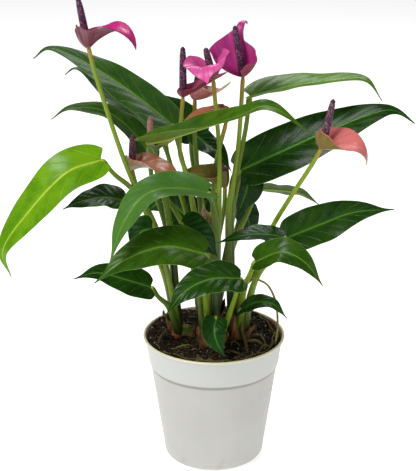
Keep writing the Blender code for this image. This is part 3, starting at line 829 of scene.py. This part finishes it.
leaf_skin = Finish("leaf_skin", roughness=0.3, specular_ior_level=0.17)
place = leaf_skin.place()
tone, bloom, under = [leaf_skin.value(name) for name in ("tone", "bloom", "under")]
across, along = leaf_skin.along("span")
side = abs(across * 2 - 1)
phase = (VEINS * (along - VEIN_SWEEP * side + VEIN_CURVE * side * side)
         + across.fade(0.499, 0.501) * VEIN_STAGGER)
vein = phase.from_whole().fade(0.055, 0.01) * side.fade(1.0, 0.75)
fine_vein = (phase * 4).from_whole().fade(0.16, 0.02) * 0.35
rib = side.fade(0.075, 0.02)
mottle = place.cloud(70, 4)
blotch = mottle.fade(0.3, 0.7)
green = tone.mix(blotch.mix(0x082603, 0x133C06), blotch.mix(0x4E8204, 0x6C9C0A))
green = (side.fade(0.30, 0.02) * 0.35).mix(green, tone.mix(0x1C580A, 0x7CA814))
green = ((vein + fine_vein) * 0.17).mix(green, tone.mix(0x4A7C30, 0xA8C838))
# Painted sheen: a pale wash painted on the upper face where light glances off the waxy leaf.
green = (bloom * 0.75).mix(green, 0x62984A)
green = (rib * 0.85).mix(green, tone.mix(0x4E7E2A, 0xB4CC40))
green = (side.fade(0.965, 1.0) * 0.55).mix(green, 0x7FA648)
below = (rib * 0.8 + vein * 0.4).mix(tone.mix(0x3E5A20, 0x7A9A2A), 0x9DB356)
leaf_skin.wear(base_color=under.mix(green, below),
               roughness=0.20 + 0.14 * mottle + 0.22 * under + 0.12 * bloom)
leaf_skin.relief((1 - vein) * 0.5 + 0.12 * fine_vein + 0.3 * place.cloud(260), 0.00035)

add_leaf("top_left", "back", (-14, 42, 80, -27, 54, 140), (-35, 48, 173, -72, 62, 199, -109, 68, 222,
    -137, 66, 234, -151, 62, 226), 39, (.15, -.45, 1), .10, bloom=.10)
add_leaf("top_left_rear", "back", (-20, 44, 80, -36, 60, 130), (-43, 70, 152, -71, 86, 175, -101, 94, 198,
    -118, 92, 210, -128, 90, 205), 38, (0, -.25, 1), .08, bloom=.08)
add_leaf("left_upper", "left", (-38, 18, 80, -52, 38, 125), (-53, 46, 143, -65, 47, 163, -89, 44, 185,
    -119, 38, 190, -135, 32, 182), 30, (0, -.3, 1), .12, bloom=.08)
add_leaf("back_upper", "back", (-8, 50, 80, -14, 72, 122), (-15, 90, 148, -26, 97, 163, -38, 104, 175,
    -52, 108, 185), 34, (-.1, -.4, 1), 0)
add_leaf("back_hanging", "back", (-9, 50, 80, -19, 74, 138), (-18, 64, 161, -7, 60, 153, 4, 54, 146, 15,
    46, 132), 24, (.5, -.7, .7), 0, lobe=.04)
add_leaf("top_right", "right", (14, 4, 119, 20, 7, 151, 26, 15, 180), (29, 24, 204, 59, 24, 212, 98, 18,
    219, 122, 12, 221, 136, 8, 204), 38, (.1, -.09, 1), .55, fold=25, bloom=.05)
add_leaf("right_large", "right", (12, 10, 81, 16, 19, 107), (22, 24, 140, 59, 30, 156, 96, 28, 174, 134,
    22, 191, 150, 20, 192, 164, 16, 183), 44, (-.2, -.9, .8), .03, lobe=.04, quilt=.16)
add_leaf("arching_front", "left", (-36, 8, 90, -45, 18, 138, -49, 16, 161), (-54, -4, 173, -39, -12, 178,
    -19, -27, 189, 17, -45, 206, 42, -54, 217, 74, -58, 197), 34, (-.2, .1, 1), .32, fold=42, tip_fold=5,
    lobe=.07, tip_face=(0, -.5, 1), wave=.5)
add_leaf("left_drooping", "left", (-46, -2, 91, -64, -6, 130, -80, -17, 150), (-90, -22, 164, -118, -32,
    156, -149, -36, 124, -170, -38, 93, -165, -34, 68), 37, (-.35, -.75, .6), .92)
add_leaf("left_lower", "left", (-42, -5, 60, -60, -14, 104), (-73, -17, 128, -89, -20, 132, -106, -24,
    130, -122, -27, 124), 30, (0, -.35, 1), .06, lobe=.06, quilt=.18)
add_leaf("front_pale", "front", (2, -19, 92, 0, -25, 122), (-5, -44, 144, -27, -54, 151, -52, -64, 150,
    -71, -74, 128, -82, -80, 96), 36, (-.3, -.4, 1), .20, fold=25, lobe=.08, bloom=.40)
add_leaf("front_left", "front", (-6, -24, 30, -8, -38, 60), (-7, -54, 96, -39, -64, 106, -70, -70, 97,
    -94, -76, 80), 42, (-.1, -.6, 1), .20, lobe=.06, quilt=.22)
add_leaf("low_left", "left", (-37, -11, 30, -46, -17, 43), (-52, -22, 54, -73, -34, 66, -94, -42, 75,
    -113, -48, 72), 30, (-.1, -.7, .9), .03, quilt=.18)
add_leaf("front_dark", "front", (-14, -22, 60, -21, -27, 90), (-27, -30, 114, -10, -36, 103, 3, -38, 87),
    29, (.3, -.9, .7), 0, lobe=.04, quilt=.22)
add_leaf("front_crinkled", "front", (10, -26, 24, 16, -42, 50), (21, -71, 82, -3, -87, 88, -23, -96, 81,
    -38, -100, 63), 31, (-.1, -.7, .9), .06, wave=1.3, quilt=.8)
add_leaf("right_broad", "right", (34, -2, 50, 52, -4, 78), (60, -5, 91, 88, 0, 101, 116, 2, 111, 148, -2,
    115), 36, (0, -.75, .85), .06)
add_leaf("right_inner", "right", (32, -12, 50, 48, -22, 84), (58, -29, 101, 39, -33, 105, 21, -37, 105, 1,
    -39, 99), 25, (0, -.2, 1), 0)
add_leaf("right_lower", "right", (24, -22, 48, 29, -37, 72), (33, -48, 87, 53, -58, 99, 71, -64, 93, 86,
    -68, 74), 26, (.1, -.6, .8), .16, fold=25)
add_leaf("low_right", "right", (21, -14, 20), (22, -33, 39, 34, -42, 49, 47, -49, 51, 59, -54, 40), 18,
    (.1, -.5, .9), .03)
add_leaf("low_front", "front", (-3, -27, 24), (2, -34, 32, 0, -42, 24, 3, -48, 14, 9, -54, 6), 21, (0,
    -.9, .4), 0)
add_leaf("back_right_narrow", "back", (14, 36, 60, 30, 40, 100), (37, 42, 118, 56, 48, 115, 76, 52, 110,
    92, 52, 99), 22, (.1, .7, .8), .05)
add_leaf("back_right_dark", "back", (12, 36, 70, 20, 42, 112), (27, 36, 135, 28, 30, 123, 24, 26, 111, 19,
    22, 100), 28, (.3, -1, .3), 0)
add_leaf("back_right_low", "back", (12, 46, 44, 22, 66, 80, 26, 67, 98), (26, 60, 96, 29, 59, 87, 31, 58,
    78, 30, 57, 67), 22, (.3, -1, .3), 0)
add_leaf("left_small", "left", (-38, -12, 60), (-50, -24, 106, -58, -26, 105, -62, -28, 99, -63, -30, 88),
    24, (-.3, -.8, .4), 0)
add_leaf("inner_left", "back", (-14, 42, 40, -19, 60, 70), (-23, 66, 83, -35, 67, 94, -47, 67, 97, -59,
    66, 88), 38, (-.2, -1, .3), 0)
add_leaf("inner_centre", "back", (-4, 46, 40, 0, 78, 84, 1, 80, 106), (0, 72, 105, -6, 71, 97, -9, 70, 87,
    -10, 69, 76), 20, (.2, -1, .3), 0)

# ---- Flowers ----
# A waxy spathe that rises like a cup behind the spadix and bends out and down at the front, on
# a long stalk.  The spadix is a tapering spike packed with tiny florets in close spirals.
SPATHE_OUTLINE = ((0, 1), (10, .80), (28, .64), (58, .53), (92, .49), (126, .46), (158, .33))
SPATHE_THICKNESS = 0.0007
SPATHE_NECK = 0.0013
SPATHE_RAYS, SPATHE_RINGS = 64, 26
SPATHE_VEINS = 15
SPADIX_RADIUS = 0.0029
FLORET_RADIUS = 0.00052
MOST_FLORETS = 900
GOLDEN_TURN = 2.399963          # between a floret and the next, in radians
PURPLE_SPIKE = (0x3A1530, 0xA86A90)


def spathe_finish(name, inner, outer, edge):
    """The waxy skin of a spathe: colours of its inside, its outside and its edge."""
    skin = Finish(name, roughness=0.3, specular_ior_level=0.3, coat_weight=0.08,
                  coat_roughness=0.15, subsurface_weight=0.12, subsurface_scale=0.002)
    place = skin.place()
    around, reach = skin.along("span")
    vein = (around * SPATHE_VEINS).from_whole().fade(0.14, 0.02)
    mottle = place.cloud(110, 4).fade(0.3, 0.7)
    inside = (mottle * 0.45).mix(inner, skin.mix(0.5, inner, edge))
    inside = (reach.fade(0.35, 0.0) * 0.5).mix(inside, skin.mix(0.5, inner, outer))
    outside = (mottle * 0.5).mix(outer, skin.mix(0.35, outer, edge))
    outside = (reach.fade(0.16, 0.0) * 0.8).mix(outside, 0x9A7A38)
    colour = (vein * 0.28).mix(skin.value("under").mix(inside, outside), edge)
    colour = (reach.fade(0.955, 1.0) * 0.7).mix(colour, edge)
    skin.wear(base_color=colour, roughness=0.26 + 0.16 * mottle)
    skin.relief((1 - vein) * 0.6 + place.cloud(320) * 0.4, 0.0003)
    return skin


def spathe_sheet(foot, axis, heading, length, front, back, sides, heel, roll, ruffle):
    """Rows of points, one for each ray, from the top of the stalk to the spathe's edge.

    heel scales the reach behind the spadix, and roll tilts the whole limb to its right.
    """
    turn = radians(heading)
    ahead = Vector((cos(turn), sin(turn), 0))
    ahead = (ahead - ahead.dot(axis) * axis).normalized()
    left = axis.cross(ahead)
    front = rounded([(i / (len(front) - 1), angle) for i, angle in enumerate(front)])
    back = rounded([(0.5 * i / (len(back) - 1), angle) for i, angle in enumerate(back)])
    outline = rounded(SPATHE_OUTLINE)
    widest = SPATHE_OUTLINE[-1][0]
    sheet = []
    for number in range(SPATHE_RAYS + 1):
        spread = 2 * number / SPATHE_RAYS - 1
        angle = widest * copysign(abs(spread) ** 1.25, spread)
        around = radians(angle)
        reach = length * reading(outline, abs(angle))
        reach *= 1 + (sides[0 if angle > 0 else 1] - 1) * abs(sin(around))
        reach *= 1 + (heel - 1) * (1 - cos(around)) / 2
        behind = (1 - cos(radians(min(1.4 * abs(angle), 180)))) / 2
        radial = cos(around) * ahead + sin(around) * left
        place = foot + SPATHE_NECK * radial
        ray = [place]
        for step in range(SPATHE_RINGS):
            share = (step + 0.5) / SPATHE_RINGS
            out = reach * share / length
            climb = radians((1 - behind) * reading(front, out) + behind * reading(back, out))
            climb += radians(roll) * sin(around) * (1 - behind)
            climb += ruffle * share * sin(7 * around + heading)
            place = place + reach / SPATHE_RINGS * (cos(climb) * radial
                                                    + sin(climb) * axis)
            ray.append(place)
        sheet.append(ray)
    return sheet


spike = Grower("spike", length=0.03, girth=0.0029, floret=0.0005, florets=500)
length, girth, florets = [spike.size(name) for name in ("length", "girth", "florets")]
number = spike.add("InputIndex")
share = (number + 0.5) / florets
turn = number * GOLDEN_TURN
dome = (1 - share ** 9) ** 0.5
foot_taper = 1 - 0.35 * (1 - share) ** 14
radius = girth * (1 - 0.22 * share) * dome * foot_taper
east, north = turn.maths("COSINE"), turn.maths("SINE")
placed = spike.add("SetPosition", {}, {
    "Geometry": spike.add("MeshLine", {}, {"Count": florets}),
    "Position": spike.vector(radius * east, radius * north, share * length)})
facing = spike.add("FunctionNodeAlignRotationToVector", {"axis": "Z"},
                   {"Vector": spike.vector(east, north, (share ** 9) * 2.5)})
bead = spike.add("MeshIcoSphere", {}, {"Radius": spike.size("floret"), "Subdivisions": 2})
sown = spike.add("InstanceOnPoints", {}, {"Points": placed, "Instance": bead,
                                          "Rotation": facing,
                                          "Scale": spike.vector(1.0, 1.0, 0.75)})
core = spike.add("MeshCone", {}, {"Vertices": 20, "Side Segments": 6,
                                  "Radius Top": girth * 0.68, "Radius Bottom": girth * 0.72,
                                  "Depth": length * 0.97})
whole = spike.add("JoinGeometry", {}, [spike.shaded(sown, 3)])
spike.tree.links.new(core.socket, whole.socket.node.inputs[0])
spike.end(whole, None)


def spadix_finish(name, colour, fleck):
    """A spike's skin: its colour, and the pale flecks of the florets that are open."""
    skin = Finish(name, roughness=0.55, specular_ior_level=0.35)
    shade = skin.value("shade")
    tint = (shade * 0.6).mix(colour, skin.mix(0.25, colour, fleck))
    skin.wear(base_color=shade.fade(0.80, 0.9).mix(tint, skin.mix(0.7, colour, fleck)))
    skin.relief(skin.place().cloud(2500, 2), 0.0002)
    return skin


def add_flower(name, crown, stalk, base, spadix_tip, heading, length, front, colours,
               spike_colours=PURPLE_SPIKE, back=(35, 85, 95), heel=1, sides=(1, 1), roll=0,
               girth=1, ruffle=0.10):
    """A spathe, the spadix that stands in it and their stalk."""
    foot, tip = plant_point(base), plant_point(spadix_tip)
    axis = (tip - foot).normalized()
    sheet = spathe_sheet(foot, axis, heading, length * MM, front, back, sides, heel, roll,
                         ruffle)
    mesh = sheet_mesh(f"bract_{name}", sheet, lambda i, k: SPATHE_THICKNESS,
                      lambda i, k: (i / SPATHE_RAYS, k / SPATHE_RINGS))
    add_piece(f"bract_{name}", mesh, spathe_finish(f"bract_skin_{name}", *colours),
              "spathe" if spike_colours == PURPLE_SPIKE else "spathe_old", f"spathe_{name}")
    add_stem(crown, stalk, base, STALK_RADIUS, 0, draw.uniform(0.5, 1.0))
    tall = (tip - foot).length
    wide = SPADIX_RADIUS * girth
    florets = min(int(1.15 * tall * WHOLE_TURN * wide / (2.6 * FLORET_RADIUS ** 2)),
                  MOST_FLORETS)
    mesh = spike.grown(f"spike_{name}", length=tall, girth=wide, floret=FLORET_RADIUS,
                       florets=florets)
    turn = Vector((0, 0, 1)).rotation_difference(axis)
    mesh.transform(Matrix.Translation(foot) @ turn.to_matrix().to_4x4())
    add_piece(f"spike_{name}", mesh, spadix_finish(f"spike_skin_{name}", *spike_colours),
              "spadix", f"spadix_{name}")


add_flower("tall_left", "left", (-45, 2, 78, -62, -4, 129, -75, -12, 168, -92, -17, 228), (-98, -20, 255),
    (-105, -20, 294), -20, 54, (40, 26, 14, -50, -95), (0xC01E78, 0x5E1428, 0x6A1C44), back=(45, 88, 97),
    sides=(.55, .8))
add_flower("tall_centre_left", "back", (-12, 14, 70, -21, 6, 136, -28, 3, 165), (-25, 2, 210), (-25, 2,
    250), 5, 39, (26, 32, 36, 30), (0xA84068, 0x7E2E42, 0x6A2038), heel=.45, sides=(.6, .6))
add_flower("tall_front", "front", (3, -15, 90, 4, -12, 125, 4, -9, 168), (-1, -14, 229), (-7, -14, 253),
    -100, 36, (66, 50, -40, -85), (0xD8529C, 0x7A3048, 0x7A2A50), back=(32, 58, 66), sides=(1.45, 1.45))
add_flower("centre_rear", "back", (-11, 36, 100, -16, 44, 160), (-16, 44, 196), (-12, 44, 224), -10, 34,
    (16, 30, 45, 50), (0xC07080, 0xB86A72, 0x9AA860), (0x2A1A14, 0x6A5A40), sides=(.8, 1))
add_flower("tall_centre", "right", (12, 2, 104, 16, 2, 139, 20, 3, 173), (23, 4, 226), (16, 2, 267), 62,
    54, (50, 78, 94, 50, -70), (0xB03080, 0x8A3A50, 0x8A2860), back=(25, 45, 60), sides=(1.3, .8),
    roll=-10)
add_flower("right", "right", (20, -4, 40, 38, -8, 66, 46, -10, 98, 59, -28, 131, 75, -47, 166), (83, -52,
    183), (91, -52, 222), -8, 46, (36, 22, 10, -40, -90), (0xD87674, 0x6E6226, 0xB06A5A), (0x4A2038,
    0xA88898), heel=.8, sides=(.8, .9), roll=30)
add_flower("salmon_centre", "back", (-1, 27, 90, 1, 29, 140), (10, 26, 181), (6, 28, 196), 182, 58, (38,
    16, -4, -30, -55), (0xB06C48, 0x74701E, 0x9A5A40), (0x7A4A40, 0xC09A80), heel=.5, sides=(.8, .8))
add_flower("salmon_left", "left", (-46, 4, 80, -62, 8, 125), (-67, 0, 149), (-66, 0, 178), -25, 52, (30,
    14, -8, -45, -70), (0x9A6242, 0x94805A, 0x9A5048), (0x4A2030, 0x8A6070), heel=.5, sides=(.7, .9))
add_flower("left_old", "back", (-22, 24, 80, -42, 26, 120), (-52, 28, 152), (-53, 28, 185), 0, 23, (52,
    46, 30, 10), (0x7A7A2A, 0x4A6A14, 0x6A7A20), (0x9A6A62, 0xD0A898), heel=.8)
add_flower("olive_centre", "back", (2, 14, 70, 8, 8, 110), (9, 6, 132), (6, 4, 153), 172, 36, (45, 45, 20,
    -15), (0x6E6A20, 0x5C5A1C, 0x7A5A38), (0x5A2038, 0xA07080), back=(50, 85, 90), roll=-25)
add_flower("bud", "front", (-3, -9, 50), (-4, -6, 93), (-9, -6, 117), 90, 30, (45, 75, 92, 95), (0x8AA050,
    0x6E8A26, 0x9A5A48), (0x7A4A40, 0xC0A090), back=(45, 75, 92), girth=.65)

# ---- Crown bodies and dry sheaths ----
# The crowns close over the feet of their stems.  Papery brown sheaths, left by the bud that
# each leaf opened from, stand round them.
CROWN_PROFILE = ((0, .6), (.25, 1), (.5, 1), (.75, .8), (1, .35))
SHEATH_ROWS, SHEATH_COLUMNS = 16, 12
SHEATH_THICKNESS = 0.0003

for name, (x, y) in CROWNS.items():
    middle = plant_point((x, y, 0))
    foot = middle - Vector((0, 0, CROWN_DEPTH))
    head = middle + Vector((0, 0, CROWN_RISE))
    path = smooth_path([foot, foot.lerp(head, .15), foot.lerp(head, .7), foot.lerp(head, .92),
                        head], 3)
    radii = [CROWN_RADIUS * reading(CROWN_PROFILE, i / (len(path) - 1)) for i in range(len(path))]
    tube(clump[name], path, radii, 24, tint=0.1, stalk=1.0)
    add_piece(f"stems_{name}", closed(clump[name], f"stems_{name}"), stem_skin, "stem",
              f"crown_{name}")

papery = Finish("papery", roughness=0.75, specular_ior_level=0.3)
place = papery.place()
tint = place.drawn_out(0.15).cloud(420).fade(0.35, 0.7).mix(0x3C2412, 0x8A6136)
papery.wear(base_color=papery.value("tone").fade(0.6, 1).mix(tint, 0xA0643C))
papery.relief(place.drawn_out(0.1).cloud(900, 2), 0.0005)


def sheath(name, crown, heading, height, radius, lean, tone):
    """A dry sheath: a pointed sheet curled round the foot of a stem."""
    x, y = CROWNS[crown]
    turn = radians(heading)
    out = Vector((cos(turn), sin(turn), 0))
    foot = plant_point((x, y, -3)) + out * (CROWN_RADIUS - radius * 0.4)
    sheet = []
    for i in range(SHEATH_ROWS + 1):
        share = i / SHEATH_ROWS
        wide = 1.9 * (1 - share ** 2.2) + 0.08
        centre = foot + Vector((0, 0, height * share)) + out * lean * height * share ** 1.6
        row = []
        for k in range(SHEATH_COLUMNS + 1):
            v = 2 * k / SHEATH_COLUMNS - 1
            spin = turn + v * wide
            curl = radius * (1 + 0.15 * sin(7 * share + heading + 2 * v))
            row.append(centre + curl * Vector((cos(spin), sin(spin), 0))
                       + Vector((0, 0, 0.002 * sin(5 * v + heading) * share)))
        sheet.append(row)
    mesh = sheet_mesh(name, sheet, lambda i, k: SHEATH_THICKNESS,
                      lambda i, k: (k / SHEATH_COLUMNS, i / SHEATH_ROWS), tone=tone)
    add_piece(name, mesh, papery, "root")


for number, values in enumerate((
        ("left", 200, .026, .0050, .25, .2), ("left", 320, .018, .0045, .3, .0),
        ("left", 240, .012, .0036, .7, 1.), ("front", 230, .022, .005, .15, .1),
        ("front", 330, .016, .005, .3, .3), ("right", 250, .034, .0055, .12, .5),
        ("right", 200, .024, .005, .2, .2), ("right", 320, .017, .0045, .4, .7),
        ("back", 120, .028, .0055, .2, .3), ("back", 30, .022, .005, .2, .1))):
    sheath(f"dry_sheath_{number + 1}", *values)
